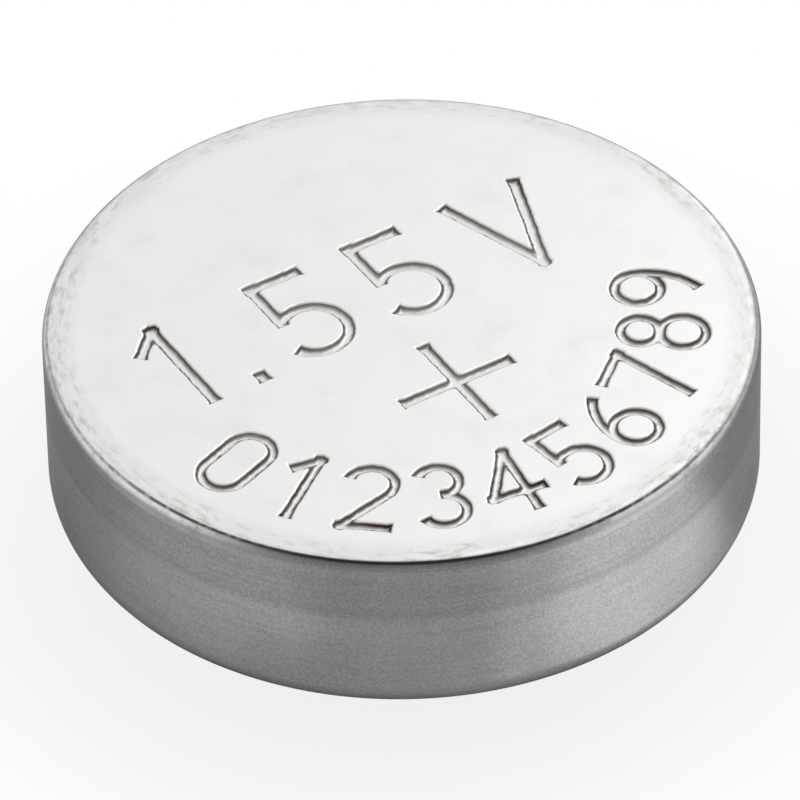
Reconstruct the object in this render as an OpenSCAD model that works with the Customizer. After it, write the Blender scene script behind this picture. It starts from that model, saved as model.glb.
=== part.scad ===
// Silver oxide button cell, standing on its negative contact.
// Origin at the middle of the negative contact, +Z towards the positive face.
// Every section below is drawn as radius against height and turned about Z.

/* [Cell] */
// Diameter of the can
cell_d = 5.8; // [4.6:0.05:12]
// Height over the two contacts
cell_h = 2.15; // [1.9:0.05:5.4]

/* [Can] */
// Thickness of the flat positive face
face_t = 0.17; // [0.1:0.01:0.3]
// Thickness of the drawn wall
can_t = 0.15; // [0.08:0.01:0.2]
// Outer rounding between the face and the wall
face_edge_r = 0.08; // [0.02:0.01:0.15]
// Inner rounding between the face and the wall
face_root_r = 0.05; // [0.02:0.01:0.15]
// Height at which the wall starts to turn in
crimp_z = 0.82; // [0.7:0.01:0.95]
// Outer radius of the crimp
crimp_r = 0.25; // [0.22:0.01:0.4]
// How far the crimp turns from upright, in degrees
crimp_turn = 55; // [45:1:60]
// Straight length of the lip past the crimp
lip_len = 0.65; // [0.4:0.01:0.7]

/* [Cap] */
// Thickness of the cap's sheet
cap_t = 0.12; // [0.08:0.01:0.15]
// Outer rounding of the negative contact's edge
contact_edge_r = 0.15; // [0.13:0.01:0.25]
// Outer radius of the turn from neck to shoulder
neck_turn_r = 0.05; // [0.02:0.01:0.1]
// Outer radius of the turn from shoulder to skirt
skirt_turn_r = 0.2; // [0.16:0.01:0.3]

/* [Gasket] */
// Thickness between the can's wall and the cap's skirt
gasket_wall_t = 0.12; // [0.08:0.01:0.2]
// Thickness squeezed between the lip and the shoulder
gasket_lip_t = 0.11; // [0.08:0.01:0.14]
// Gap from the rim of the lip to the cap's neck
rim_gap = 0.115; // [0.08:0.005:0.2]
// How far the gasket stands out past the rim of the lip
gasket_proud = 0.06; // [0:0.01:0.08]
// Thickness of the foot under the edge of the skirt
foot_t = 0.12; // [0.08:0.01:0.2]
// Thickness of the short leg inside the skirt
inner_leg_t = 0.08; // [0.05:0.01:0.15]
// Height of the short leg inside the skirt
inner_leg_h = 0.15; // [0.05:0.01:0.2]

/* [Filling] */
// Thickness of the silver oxide pellet
pellet_t = 0.58; // [0.3:0.01:0.7]
// Rounding of the pellet's edge against the can
pellet_edge_r = 0.07; // [0.06:0.01:0.2]
// Thickness of the ring's sheet
ring_t = 0.06; // [0.04:0.01:0.1]
// Height of the ring's upright wall
ring_h = 0.3; // [0.15:0.01:0.3]
// Width of the ring's flange
ring_flange = 0.4; // [0.2:0.01:0.6]
// Thickness of the barrier film
film_t = 0.05; // [0.03:0.01:0.08]
// Thickness of the absorbent pad
pad_t = 0.18; // [0.08:0.01:0.25]
// Clearance round the pellet, the ring, the film and the pad
filling_gap = 0.01; // [0.005:0.005:0.03]

/* [Stamped marks] */
// Depth of the marks in the positive face
mark_depth = 0.04; // [0.02:0.01:0.06]
// Direction in which the voltage reads, in degrees
mark_turn = 31; // [0:1:90]
// Height of the voltage's figures
volt_h = 1.08; // [0.8:0.01:1.2]
// Width of the strokes in the voltage and the plus sign
volt_stroke = 0.105; // [0.06:0.005:0.14]
// Centre of the voltage across the reading direction
volt_up = 0.53; // [0.4:0.01:0.8]
// Centre of the voltage along the reading direction
volt_along = -0.12; // [-0.3:0.01:0.3]
// Space between the voltage's figures
volt_gap = 0.36; // [0.1:0.01:0.4]
// Length of the plus sign's arms
plus_len = 1.05; // [0.6:0.01:1.2]
// Place of the plus sign
plus_at = [0.435, -0.72];
// Height of the small figures along the edge
row_h = 0.78; // [0.5:0.01:0.9]
// Width of the strokes in the small figures
row_stroke = 0.09; // [0.05:0.005:0.12]
// Distance from the can's side to the feet of the small figures
row_margin = 0.4; // [0.3:0.01:0.6]
// Angle of the first small figure
row_start = 231; // [220:1:250]
// Angle from one small figure to the next
row_step = 15.6; // [15:0.1:20]

/* [Hidden] */
$fn = 96;

// Radii and heights inside the can
can_r = cell_d / 2;
bore_r = can_r - can_t;
filling_r = bore_r - filling_gap;
face_z = cell_h - face_t;
pellet_z = face_z - pellet_t;
film_z = pellet_z - film_t;
pad_z = film_z - pad_t;
skirt_z = film_z - foot_t;

// The crimp's centre, and the rim of the lip on its inner side
crimp_at = [can_r - crimp_r, crimp_z];
bend_in_r = crimp_r - can_t;
rim_in_r = crimp_at.x + bend_in_r * cos(crimp_turn) - lip_len * sin(crimp_turn);

// The cap's outer radii, and the distance from the crimp's centre to its shoulder
neck_r = rim_in_r - rim_gap;
skirt_r = bore_r - gasket_wall_t;
leg_in_r = skirt_r - cap_t - inner_leg_t;
shoulder_at = bend_in_r - gasket_lip_t;

// Height at which a point at radius r is d outside the crimp's centre line,
// measured square to the lip
function crimp_height(r, d) =
    crimp_at.y + ((r - crimp_at.x) * cos(crimp_turn) - d) / sin(crimp_turn);

// Centres of the cap's two turns
neck_turn_at = [neck_r + neck_turn_r,
                crimp_height(neck_r + neck_turn_r, shoulder_at + neck_turn_r)];
skirt_turn_at = [skirt_r - skirt_turn_r,
                 crimp_height(skirt_r - skirt_turn_r, shoulder_at - skirt_turn_r)];
lip_out = [cos(crimp_turn), -sin(crimp_turn)];

// Sloping sides lie this far inside the turns they meet, so that each one crosses its turn
hair = 0.0002;

// Half width of the round figures, and the radius of the stems of 6 and 9,
// in a box one high
round_w = 0.27;
stem_r = 0.8;

// Where a figure of the voltage starts and ends in a box one high
voltage_text = "1.55V";
function extent(c) = c == "1" ? [-0.16, 0.06] : c == "5" ? [-0.19, 0.29] :
    c == "V" ? [-0.34, 0.34] : [0, 0];

// Strokes of one figure in a box one high: [x1, y1, x2, y2] is a straight one,
// and [x, y, radius, first angle, last angle] is a bent one
function strokes(c) =
    c == "0" ? [[-round_w, round_w, -round_w, 1 - round_w],
                [round_w, round_w, round_w, 1 - round_w],
                [0, 1 - round_w, round_w, 0, 180],
                [0, round_w, round_w, 180, 360]] :
    c == "1" ? [[0.06, 0, 0.06, 1], [-0.16, 0.78, 0.06, 1]] :
    c == "2" ? [[0, 1 - round_w, round_w, -40, 165],
                [0.21, 0.56, -round_w, 0], [-round_w, 0, round_w, 0]] :
    c == "3" ? [[0, 0.76, 0.24, -90, 155], [0, 0.26, 0.26, -155, 90]] :
    c == "4" ? [[0.12, 0, 0.12, 1], [0.12, 1, -0.3, 0.3], [-0.3, 0.3, 0.3, 0.3]] :
    c == "5" ? [[-0.19, 1, 0.24, 1], [-0.19, 0.51, -0.19, 1], [0, 0.29, 0.29, -150, 130]] :
    c == "6" ? [[0, round_w, round_w, 0, 360],
                [stem_r - round_w, round_w, stem_r, 118, 180]] :
    c == "7" ? [[-round_w, 1, round_w, 1], [round_w, 1, -0.1, 0]] :
    c == "8" ? [[0, 0.77, 0.23, 0, 360], [0, round_w, round_w, 0, 360]] :
    c == "9" ? [[0, 1 - round_w, round_w, 0, 360],
                [round_w - stem_r, 1 - round_w, stem_r, -62, 0]] :
    c == "V" ? [[-0.34, 1, 0, 0], [0, 0, 0.34, 1]] :
    [[0, 0, 0, 0.03]];

module straight_stroke(s, w) {
    run = [s[2] - s[0], s[3] - s[1]];
    translate([s[0], s[1]]) rotate(atan2(run.y, run.x))
        translate([-w / 2, -w / 2]) square([norm(run) + w, w]);
}

// A wedge from the first angle to the last, reaching out to radius r
module wedge(r, first, last) {
    steps = ceil((last - first) / 60);
    polygon(concat([[0, 0]],
        [for (i = [0:steps]) let (a = first + (last - first) * i / steps)
            r * [cos(a), sin(a)]]));
}

module ring_area(r_in, r_out) {
    difference() {
        circle(r_out);
        circle(r_in);
    }
}

module bent_stroke(s, w) {
    translate([s[0], s[1]]) {
        if (s[4] - s[3] >= 360) {
            ring_area(s[2] - w / 2, s[2] + w / 2);
        } else {
            intersection() {
                ring_area(s[2] - w / 2, s[2] + w / 2);
                wedge(2 * s[2], s[3], s[4]);
            }
        }
    }
}

// One figure h high over all, standing on its baseline and centred on X
module figure(c, h, w) {
    line_h = h - w;
    translate([0, w / 2]) {
        for (s = strokes(c)) {
            if (len(s) == 4) straight_stroke(s * line_h, w);
            else bent_stroke([s[0] * line_h, s[1] * line_h, s[2] * line_h, s[3], s[4]], w);
        }
    }
}

// Length of the voltage's first n figures with a gap after each
function run_length(n) = n == 0 ? 0 : run_length(n - 1) + volt_stroke + volt_gap
    + (volt_h - volt_stroke) * (extent(voltage_text[n - 1])[1] - extent(voltage_text[n - 1])[0]);

// Nominal voltage, centred on its line
module voltage() {
    whole = run_length(len(voltage_text)) - volt_gap;
    rotate(mark_turn) translate([volt_along - whole / 2, volt_up - volt_h / 2]) {
        for (i = [0:len(voltage_text) - 1]) {
            left = volt_stroke / 2 - (volt_h - volt_stroke) * extent(voltage_text[i])[0];
            translate([run_length(i) + left, 0]) figure(voltage_text[i], volt_h, volt_stroke);
        }
    }
}

module plus_sign() {
    translate(plus_at) rotate(mark_turn) {
        square([plus_len, volt_stroke], center = true);
        square([volt_stroke, plus_len], center = true);
    }
}

// Plain figures from 0 to 9 with their heads towards the middle
module figure_row() {
    for (i = [0:9]) rotate(row_start + i * row_step + 90)
        translate([0, row_margin - can_r]) figure(str(i), row_h, row_stroke);
}

// Area from the axis out to radius r, from z0 up to z1, with its upper corner rounded
module rounded_top(r, z0, z1, corner) {
    translate([0, z0]) square([r, z1 - z0 - corner]);
    translate([0, z1 - corner]) square([r - corner, corner]);
    translate([r - corner, z1 - corner]) circle(corner);
}

// The crimp and the lip filled in to their middle, taken in by inset,
// down to len past the crimp
module crimp_area(inset, len) {
    translate(crimp_at) {
        circle(crimp_r - inset);
        rotate(-crimp_turn) translate([-crimp_r, -len])
            square([2 * crimp_r - inset - hair, len]);
    }
}

module can_section() {
    difference() {
        union() {
            rounded_top(can_r, crimp_z, cell_h, face_edge_r);
            crimp_area(0, lip_len);
        }
        rounded_top(bore_r, crimp_z, face_z, face_root_r);
        crimp_area(can_t, lip_len + can_t);
    }
}

// All that lies within the cap's surface, taken in by inset, up to z_top
module cap_area(inset, z_top) {
    corner = contact_edge_r - inset;
    side_r = neck_r - inset;
    turn_r = neck_turn_r + inset;
    inner_r = side_r - turn_r;
    // Contact with its rounded edge, and neck
    translate([0, inset]) square([side_r - corner, corner]);
    translate([side_r - corner, contact_edge_r]) circle(corner);
    translate([0, contact_edge_r]) square([side_r, skirt_turn_at.y - contact_edge_r]);
    // Shoulder
    polygon([[inner_r, crimp_height(inner_r, shoulder_at - inset - hair)],
             skirt_turn_at + (skirt_turn_r - inset - hair) * lip_out,
             skirt_turn_at, [inner_r, skirt_turn_at.y]]);
    // Turn from the neck to the shoulder
    difference() {
        polygon([[inner_r, neck_turn_at.y], neck_turn_at, neck_turn_at - 2 * turn_r * lip_out]);
        translate(neck_turn_at) circle(turn_r + 2 * hair);
    }
    // Turn from the shoulder to the skirt, and skirt
    translate(skirt_turn_at) circle(skirt_turn_r - inset);
    translate([0, skirt_turn_at.y]) square([skirt_r - inset, z_top - skirt_turn_at.y]);
}

module cap_section() {
    difference() {
        cap_area(0, skirt_z);
        cap_area(cap_t, skirt_z + foot_t);
    }
}

module gasket_section() {
    difference() {
        union() {
            translate([leg_in_r, crimp_z]) square([bore_r - leg_in_r, film_z - crimp_z]);
            crimp_area(can_t, lip_len + gasket_proud);
        }
        cap_area(0, skirt_z);
    }
    difference() {
        translate([leg_in_r, skirt_z - inner_leg_h])
            square([inner_leg_t, inner_leg_h + foot_t]);
        cap_section();
    }
}

module ring_section() {
    translate([filling_r - ring_t, pellet_z]) square([ring_t, ring_h]);
    translate([filling_r - ring_flange, pellet_z]) square([ring_flange, ring_t]);
}

// Drawn and stamped can, turned in over the gasket
module positive_can() {
    color("silver") difference() {
        rotate_extrude() can_section();
        translate([0, 0, cell_h - mark_depth]) linear_extrude(2 * mark_depth) {
            voltage();
            plus_sign();
            figure_row();
        }
    }
}

// Pressed cap, whose flat end is the negative contact
module negative_cap() {
    color("gainsboro") rotate_extrude() cap_section();
}

// Moulded ring that seals and insulates the cap from the can
module sealing_gasket() {
    color("ivory") rotate_extrude() gasket_section();
}

// Angle ring that keeps the pellet's edge square under the gasket
module support_ring() {
    color("lightsteelblue") rotate_extrude() ring_section();
}

// Pressed silver oxide pellet, moulded round the ring
module cathode_pellet() {
    color("dimgray") rotate_extrude() difference() {
        rounded_top(filling_r, pellet_z, face_z, pellet_edge_r);
        ring_section();
    }
}

// Film that keeps silver from reaching the zinc
module barrier_separator() {
    color("tan") translate([0, 0, film_z]) cylinder(h = film_t, r = filling_r);
}

// Soft pad that holds the electrolyte
module absorbent_pad() {
    color("white") translate([0, 0, pad_z])
        cylinder(h = pad_t, r = leg_in_r - filling_gap);
}

// Gelled zinc that fills the cap
module anode_mass() {
    color("slategray") rotate_extrude() difference() {
        cap_area(cap_t, pad_z);
        gasket_section();
    }
}

positive_can();
negative_cap();
sealing_gasket();
support_ring();
cathode_pellet();
barrier_separator();
absorbent_pad();
anode_mass();
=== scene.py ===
"""Looks of a silver oxide button cell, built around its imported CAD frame.

The shapes are worked out in millimetres and turned to metres when a mesh is made. The axis of
the cell is Z, its negative contact stands on z = 0 and its positive face is on top.
"""

import math
from functools import partial

import bpy
import numpy as np
from bpy.props import FloatProperty, FloatVectorProperty, PointerProperty
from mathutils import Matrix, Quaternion, Vector
from mathutils.geometry import delaunay_2d_cdt


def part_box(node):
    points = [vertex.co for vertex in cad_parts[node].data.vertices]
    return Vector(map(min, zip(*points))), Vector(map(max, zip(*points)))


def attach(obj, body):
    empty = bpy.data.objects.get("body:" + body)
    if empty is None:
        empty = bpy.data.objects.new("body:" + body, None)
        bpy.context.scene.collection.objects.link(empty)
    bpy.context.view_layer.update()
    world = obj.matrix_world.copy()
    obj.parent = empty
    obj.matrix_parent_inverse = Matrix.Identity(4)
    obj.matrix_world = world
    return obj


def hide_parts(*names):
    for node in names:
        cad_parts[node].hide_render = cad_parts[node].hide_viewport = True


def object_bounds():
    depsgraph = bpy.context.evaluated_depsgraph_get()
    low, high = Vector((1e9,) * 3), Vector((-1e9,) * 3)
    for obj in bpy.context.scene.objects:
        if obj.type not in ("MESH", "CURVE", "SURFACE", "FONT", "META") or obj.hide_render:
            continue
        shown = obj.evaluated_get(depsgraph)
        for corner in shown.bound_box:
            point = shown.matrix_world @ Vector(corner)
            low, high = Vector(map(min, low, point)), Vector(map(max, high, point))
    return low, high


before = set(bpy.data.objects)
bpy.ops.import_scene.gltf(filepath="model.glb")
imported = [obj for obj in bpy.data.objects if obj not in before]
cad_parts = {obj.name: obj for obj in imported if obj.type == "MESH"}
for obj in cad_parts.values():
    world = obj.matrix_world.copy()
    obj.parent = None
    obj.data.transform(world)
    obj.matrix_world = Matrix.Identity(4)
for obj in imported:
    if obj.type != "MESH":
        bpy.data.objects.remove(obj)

bl_info = {
    "name": "Silver Oxide Button Cell",
    "version": (1, 0, 0),
    "blender": (4, 5, 0),
    "location": "View3D > Sidebar > Button Cell",
    "description": "Builds the can, cap, gasket and filling of a button cell, with a stage",
    "category": "Object",
}

MM = 0.001
CAD_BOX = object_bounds()

# Sizes of the CAD model, in millimetres: the first ones are read from its pieces, and the rest
# are the same as in its source
CAN_HIGH, CAP_HIGH, GASKET_HIGH = (
    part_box(node)[1] for node in ("positive_can", "negative_cap", "sealing_gasket")
)
CAN_R, CELL_H = CAN_HIGH.x / MM, CAN_HIGH.z / MM
SKIRT_R, SKIRT_TOP = CAP_HIGH.x / MM, CAP_HIGH.z / MM
GASKET_TOP = GASKET_HIGH.z / MM
FACE_T = 0.17
CAN_T = 0.15
FACE_ROOT_R = 0.05
CRIMP_R = 0.25
CRIMP_Z = 0.82
CRIMP_TURN = math.radians(55)
LIP_LEN = 0.65
CAP_T = 0.12
CONTACT_EDGE_R = 0.15
NECK_TURN_R = 0.05
SKIRT_TURN_R = 0.2
GASKET_LIP_T = 0.11
GASKET_PROUD = 0.06
RIM_GAP = 0.115
INNER_LEG_T = 0.08
INNER_LEG_LOW = 0.15

# Height of the line that the drawing die left on the side
DIE_LINE = 1.58

# Centre of the crimp, and the directions out of its lip and along it
CRIMP = np.array([CAN_R - CRIMP_R, CRIMP_Z])
OUT = np.array([math.cos(CRIMP_TURN), -math.sin(CRIMP_TURN)])
ALONG = np.array([-math.sin(CRIMP_TURN), -math.cos(CRIMP_TURN)])

# Segments round the axis of a turned piece, and the direction of each
AROUND = 384
TURNS = np.arange(AROUND) * 2 * math.pi / AROUND
RING = np.stack([np.cos(TURNS), np.sin(TURNS)], 1)
# A length under this is none, and points nearer to each other than this are the same one
TINY = 1e-9
SAME_POINT = 1e-6
# Steps round the turns of the sections
EDGE_STEPS, CRIMP_STEPS, RIM_STEPS, CRIMP_IN_STEPS, ROOT_STEPS = 14, 14, 6, 8, 6
CONTACT_STEPS, NECK_STEPS, SKIRT_STEPS, LIP_STEPS = 10, 10, 12, 6
# The longest step along a section's straight parts, in millimetres
CAN_STRIDE, CAP_STRIDE, CAP_IN_STRIDE, GASKET_STRIDE = 0.16, 0.12, 0.2, 0.12
# Radius of the flat field that carries the stamped marks
FIELD_R = CAN_R - 0.1

# Stamped marks, in millimetres: the middle of the plus sign, and how far the voltage's middle
# lies up and along from the axis, as it reads, with the gap between its figures
PLUS_AT = (0.435, -0.72)
VOLTAGE = "1.55V"
VOLT_UP, VOLT_ALONG, VOLT_GAP = 0.53, -0.12, 0.36
# The row of small figures: how far it stands in from the side, and in degrees the way to its
# first figure and the turn to the next
ROW_FIGURES = "0123456789"
ROW_MARGIN, ROW_START, ROW_STEP = 0.4, 231.0, 15.6

# Half width of the round figures and radius of the stems of 6 and 9, in a box one high
ROUND_W, STEM_R = 0.27, 0.8
# Where a figure of the voltage starts and ends in a box one high
EXTENT = {"1": (-0.16, 0.06), "5": (-0.19, 0.29), "V": (-0.34, 0.34), ".": (0.0, 0.0)}
# A figure is groups of strokes that run into each other. A line has two points, an arc its
# centre, radius and angles, an oval its centre line and radius; the last value says which of a
# line's or arc's ends is free: 0 none, 1 the first, 2 the last, 3 both.
STROKES = {
    "0": ((("oval", 0, ROUND_W, 1 - ROUND_W, ROUND_W),),),
    "1": ((("line", 0.06, 0, 0.06, 1, 3),), (("line", -0.16, 0.78, 0.06, 1, 1),)),
    "2": (
        (("arc", 0, 1 - ROUND_W, ROUND_W, -40, 165, 2), ("line", 0.21, 0.56, -ROUND_W, 0, 0)),
        (("line", -ROUND_W, 0, ROUND_W, 0, 2),),
    ),
    "3": ((("arc", 0, 0.76, 0.24, -90, 155, 2),), (("arc", 0, 0.26, 0.26, -155, 90, 1),)),
    "4": (
        (("line", 0.12, 0, 0.12, 1, 1),),
        (("line", 0.12, 1, -0.3, 0.3, 0),),
        (("line", -0.3, 0.3, 0.3, 0.3, 2),),
    ),
    "5": (
        (("line", -0.19, 1, 0.24, 1, 2),),
        (("line", -0.19, 0.51, -0.19, 1, 0),),
        (("arc", 0, 0.29, 0.29, -150, 130, 1),),
    ),
    "6": (
        (
            ("oval", 0, ROUND_W, ROUND_W, ROUND_W),
            ("arc", STEM_R - ROUND_W, ROUND_W, STEM_R, 118, 180, 1),
        ),
    ),
    "7": ((("line", -ROUND_W, 1, ROUND_W, 1, 1),), (("line", ROUND_W, 1, -0.1, 0, 2),)),
    "8": ((("oval", 0, 0.77, 0.77, 0.23),), (("oval", 0, ROUND_W, ROUND_W, ROUND_W),)),
    "9": (
        (
            ("oval", 0, 1 - ROUND_W, 1 - ROUND_W, ROUND_W),
            ("arc", ROUND_W - STEM_R, 1 - ROUND_W, STEM_R, -62, 0, 1),
        ),
    ),
    "V": ((("line", -0.34, 1, 0, 0, 1),), (("line", 0, 0, 0.34, 1, 2),)),
    ".": ((("line", 0, 0, 0, 0.03, 3),),),
}

# How the punch leaves a stroke, in millimetres: its corners draw out at a free end, its inner
# corners fill, and its sides are a little ragged, twice as much further in than the run
FLARE, FLARE_RUN = 0.014, 0.035
CORNER_FILL = 0.035
RAGGED, RAGGED_RUN = 0.003, 0.03
# The ragged sides' bumps: their share, width and random seed
RAGGED_NOISE = ((1, 0.055, 3), (0.6, 0.024, 4))
# The steepest slope of a mark's wall, the rounding of its lip and its toe with the levels that
# each is drawn in, and how far the lip starts outside the stroke
WALL_SLOPE = math.radians(68)
LIP_R, LIP_LEVELS = 0.022, 4
TOE_R, TOE_LEVELS = 0.034, 7
LIP_OUT = 0.014
# How much painted shade a mark's floor gets, and a steep wall high up, with 1 as the most
FLOOR_SHADE, WALL_SHADE = 0.1, 0.5
# The painted shade in the marks is a little weaker between the free ends of the strokes, and on
# the walls that face +Y
END_REACH = 0.2
BETWEEN_ENDS = 0.93
FACING_PLUS_Y_LESS_SHADE = 0.2
# The painted shade in the marks is also lighter in the middle of the face than near the rim:
# between which radii it grows, and how much lighter the walls are in the middle
SHADE_GROWS_FROM, SHADE_GROWS_TO = 1.6, 2.1
MIDDLE_LIGHTER = 0.15
# Step of the grid that the marks' outlines are found on. A mark's part of it reaches this many
# heights and strokes from its middle, and an outline stays off its corners by this share
GRID = 0.012
REACH_HEIGHTS, REACH_STROKES = 0.75, 2
OFF_CORNER = 0.02
# Step of the loose points over the open field, and in such steps how far each is shifted and how
# far they stay from the field's ring and from the marks
SPARSE = 0.11
LOOSE_SEED = 11
LOOSE_SHIFT, FROM_RING, FROM_MARKS = 0.25, 0.5, 0.6


def linear(code):
    """An sRGB hex colour as linear red, green and blue."""
    parts = [int(code[i : i + 2], 16) / 255 for i in (1, 3, 5)]
    return [p / 12.92 if p <= 0.04045 else ((p + 0.055) / 1.055) ** 2.4 for p in parts]


def size_prop(name, text, value):
    """A length setting given in millimetres."""
    return FloatProperty(
        name=name, description=text, default=value * MM, min=0, precision=5,
        subtype="DISTANCE", unit="LENGTH",
    )


def colour_prop(name, text, code):
    """A colour setting given as sRGB hex."""
    return FloatVectorProperty(
        name=name, description=text, default=linear(code), min=0, max=1, size=3, subtype="COLOR"
    )


def angle_prop(name, text, degrees):
    """An angle setting given in degrees."""
    return FloatProperty(
        name=name, description=text, default=math.radians(degrees), subtype="ANGLE",
        unit="ROTATION",
    )


class ButtonCellSizes(bpy.types.PropertyGroup):
    """Sizes of what the looks add to the CAD model."""

    face_edge: size_prop("Face edge", "Radius of the edge between the face and the side", 0.08)
    rim_edge: size_prop("Rim edge", "Radius of the edges of the turned-in rim", 0.025)
    mark_depth: size_prop("Mark depth", "Depth of the stamped marks", 0.042)
    volt_height: size_prop("Voltage height", "Height of the voltage's figures", 1.08)
    volt_stroke: size_prop("Voltage stroke", "Stroke width of the voltage and the plus", 0.105)
    plus_length: size_prop("Plus length", "Length of the plus sign's arms", 1.05)
    row_height: size_prop("Row height", "Height of the small figures along the edge", 0.78)
    row_stroke: size_prop("Row stroke", "Stroke width of the small figures", 0.09)
    mark_turn: angle_prop("Mark turn", "Direction in which the voltage reads", 31)


class ButtonCellColours(bpy.types.PropertyGroup):
    """Colours of the surfaces."""

    face: colour_prop("Face", "Satin nickel of the positive face", "#E5E5E4")
    scuffed: colour_prop("Scuffed edge", "Nickel rubbed dull round the face", "#B9B8B5")
    # The stamped walls' colour is painted shade in the marks
    stamped: colour_prop("Stamped walls", "Nickel in the walls of the marks", "#3C200F")
    # Colour of the painted dark reflection along the edge, also used for painted shade over the key
    # lamp's glint
    edge_painted_dark: colour_prop("Edge line", "Dull line where the face turns over", "#211F1D")
    side: colour_prop("Side", "Tumbled nickel of the can's side", "#B2B2B0")
    contact: colour_prop("Contact", "Satin nickel of the cap", "#E4E3DF")
    nylon: colour_prop("Gasket", "Natural nylon of the gasket", "#E9E4D4")
    strip: colour_prop("Ring", "Rolled steel of the ring inside", "#C9C9C7")
    oxide: colour_prop("Silver oxide", "Pressed powder of the pellet", "#2B2320")
    film: colour_prop("Film", "Cast cellulose of the barrier", "#E3D9B8")
    felt: colour_prop("Pad", "Felted fibre of the pad", "#EFEDE6")
    zinc: colour_prop("Zinc", "Gelled zinc powder", "#8E9296")
    floor: colour_prop("Floor", "Pale floor of the stage", "#C6C6C6")


class ButtonCellStage(bpy.types.PropertyGroup):
    """Light and view."""

    key_power: FloatProperty(
        name="Key lamp", description="Power of the key lamp", default=0.02, min=0,
        subtype="POWER", unit="POWER",
    )
    low_power: FloatProperty(
        name="Low lamps", description="Power of the small lamps that lie by the cell",
        default=2.5e-5, min=0, precision=6, subtype="POWER", unit="POWER",
    )
    sky: FloatProperty(
        name="Even light", description="Level of the even light all round", default=0.82, min=0
    )
    camera_distance: size_prop("Camera distance", "From the lens to the cell", 75.96)
    camera_height: angle_prop("Camera height", "Angle of the view above the floor", 41.12)
    camera_roll: angle_prop("Camera roll", "Turn of the camera about its line of view", -1.166)
    lens: FloatProperty(
        name="Lens", description="Focal length of the lens in millimetres", default=418.99, min=1
    )


# ---------------------------------------------------------------- shapes


def turn(centre, radius, first, last, steps):
    """Points on an arc in the section's plane, with angles in radians."""
    angles = np.linspace(first, last, steps + 1)
    return [(centre[0] + radius * math.cos(a), centre[1] + radius * math.sin(a)) for a in angles]


def without_repeats(points):
    """The points without those that repeat the one before."""
    kept = [points[0]]
    for p in points[1:]:
        if math.dist(p, kept[-1]) > SAME_POINT:
            kept.append(p)
    return kept


def split(points, step):
    """The points with more put in, so that none is further than step from the next."""
    dense = [points[0]]
    for a, b in zip(points, points[1:]):
        n = max(1, math.ceil(math.dist(a, b) / step))
        dense += [
            (a[0] + (b[0] - a[0]) * i / n, a[1] + (b[1] - a[1]) * i / n) for i in range(1, n + 1)
        ]
    return dense


def lathe(section):
    """Vertices and faces of a section turned about Z. The section runs with the solid on its left.

    A section whose first and last points lie off the axis is a closed loop.
    """
    vertices = []
    rows = []
    count = 0
    for r, z in section:
        if r < TINY:
            vertices.append(np.array([[0.0, 0.0, z]]))
            rows.append(np.full(AROUND, count))
            count += 1
        else:
            vertices.append(np.column_stack([RING * r, np.full(AROUND, z)]))
            rows.append(np.arange(AROUND) + count)
            count += AROUND
    closed = section[0][0] > TINY and section[-1][0] > TINY
    pairs = list(zip(rows, rows[1:])) + ([(rows[-1], rows[0])] if closed else [])
    faces = []
    for low, high in pairs:
        for corners in zip(low, np.roll(low, -1), np.roll(high, -1), high):
            face = [v for i, v in enumerate(corners) if v != corners[i - 1]]
            if len(face) > 2:
                faces.append(tuple(int(v) for v in face))
    return np.concatenate(vertices), faces


def new_piece(name, vertices, faces, normals=None):
    """A smooth mesh object from vertices in millimetres."""
    mesh = bpy.data.meshes.new(name)
    mesh.from_pydata((np.asarray(vertices) * MM).tolist(), [], faces)
    mesh.polygons.foreach_set("use_smooth", [True] * len(mesh.polygons))
    if normals is not None:
        mesh.normals_split_custom_set_from_vertices(normals.tolist())
    mesh.update()
    piece = bpy.data.objects.new(name, mesh)
    bpy.context.scene.collection.objects.link(piece)
    return piece


def keep(piece, node, material):
    """Lets the piece stand for its CAD node, riding with the cell."""
    piece.data.materials.append(material)
    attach(piece, "root")
    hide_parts(node)


def between(grid, i, j, fu, fv):
    """A grid's values at shares fu and fv of the way from its points i, j to the next ones."""
    low = grid[i, j] * (1 - fu) + grid[i + 1, j] * fu
    high = grid[i, j + 1] * (1 - fu) + grid[i + 1, j + 1] * fu
    return low * (1 - fv) + high * fv


def soft_noise(x, y, cell, seed):
    """Smooth noise from -1 to 1 over the face, with bumps about one cell wide."""
    rng = np.random.default_rng(seed)
    n = int(2 * CAN_R / cell) + 4
    grid = rng.uniform(-1, 1, (n, n))
    u = (x + CAN_R) / cell + 1
    v = (y + CAN_R) / cell + 1
    i, j = np.floor(u).astype(int), np.floor(v).astype(int)
    fu, fv = u - i, v - j
    return between(grid, i, j, fu * fu * (3 - 2 * fu), fv * fv * (3 - 2 * fv))


def field_at(grid, x, y, low):
    """The values at points x, y of a grid over the face whose first line lies at low."""
    u, v = (x - low) / GRID, (y - low) / GRID
    i = np.clip(np.floor(u).astype(int), 0, grid.shape[0] - 2)
    j = np.clip(np.floor(v).astype(int), 0, grid.shape[1] - 2)
    return between(grid, i, j, u - i, v - j)


def boxed(across, along, half, reach, free_low, free_high):
    """Distance to a stroke from -reach to reach, whose corners are drawn out at free ends."""
    to_end = reach - np.abs(along)
    free = np.where(along < 0, free_low, free_high)
    wide = half + FLARE * free * np.exp(-np.maximum(to_end, 0) / FLARE_RUN)
    out_along, out_across = -to_end, np.abs(across) - wide
    outside = np.hypot(np.maximum(out_along, 0), np.maximum(out_across, 0))
    return outside + np.minimum(np.maximum(out_along, out_across), 0)


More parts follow.
